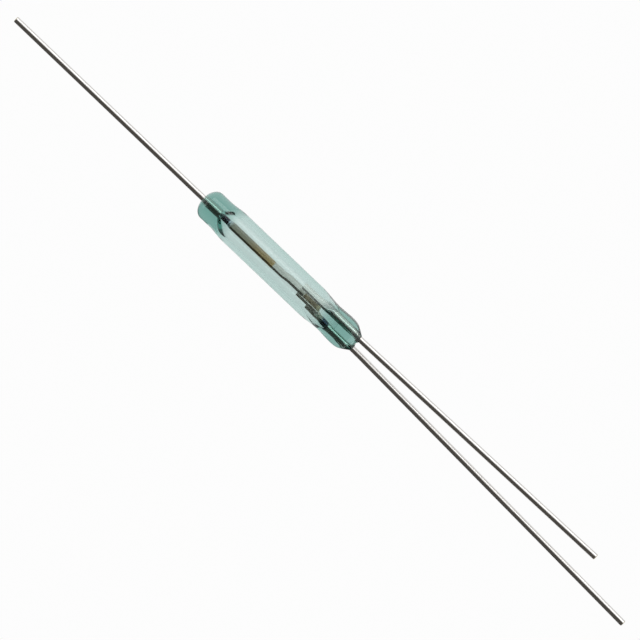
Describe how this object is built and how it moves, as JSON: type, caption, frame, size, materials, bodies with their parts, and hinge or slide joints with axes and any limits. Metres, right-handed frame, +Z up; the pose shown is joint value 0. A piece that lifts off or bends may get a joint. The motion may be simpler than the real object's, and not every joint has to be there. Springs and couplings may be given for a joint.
{
  "type": "reed switch",
  "caption": "Changeover reed switch: a sealed glass capsule with a flexible common reed between a normally open and a normally closed contact, on straight plated wire leads.",
  "frame": {"origin": "middle of the glass capsule, on its axis", "axes": "+X along the glass towards the common lead, +Z up as the switch lies on its glass and on the tip of its normally closed lead, -Y the normally open side. The plane of the leads is turned 18 degrees about X, the normally open side up."},
  "size_m": [0.0602, 0.0029, 0.0026],
  "materials": {
    "capsule_glass": "clear pale green glass, fire polished",
    "plated_lead": "bright tin plating on drawn wire",
    "reed_alloy": "heat-tinted nickel iron, pale plating on the contact end",
    "contact_plate": "dull dark non-magnetic metal"
  },
  "bodies": {
    "capsule": {"glass_envelope": "capsule_glass", "common_lead": "plated_lead", "no_lead": "plated_lead", "nc_lead": "plated_lead", "nc_contact_plate": "contact_plate"},
    "reed": {"common_reed": "reed_alloy"}
  },
  "joints": [
    {"name": "reed_flex", "type": "hinge", "parent": "capsule", "child": "reed", "pos_m": [0.00468, 0, 0], "axis": [0, 0.309, 0.9511], "range_deg": [0, 1.7], "stiffness_Nm_per_rad": 0.014, "springref_deg": -0.57}
  ]
}
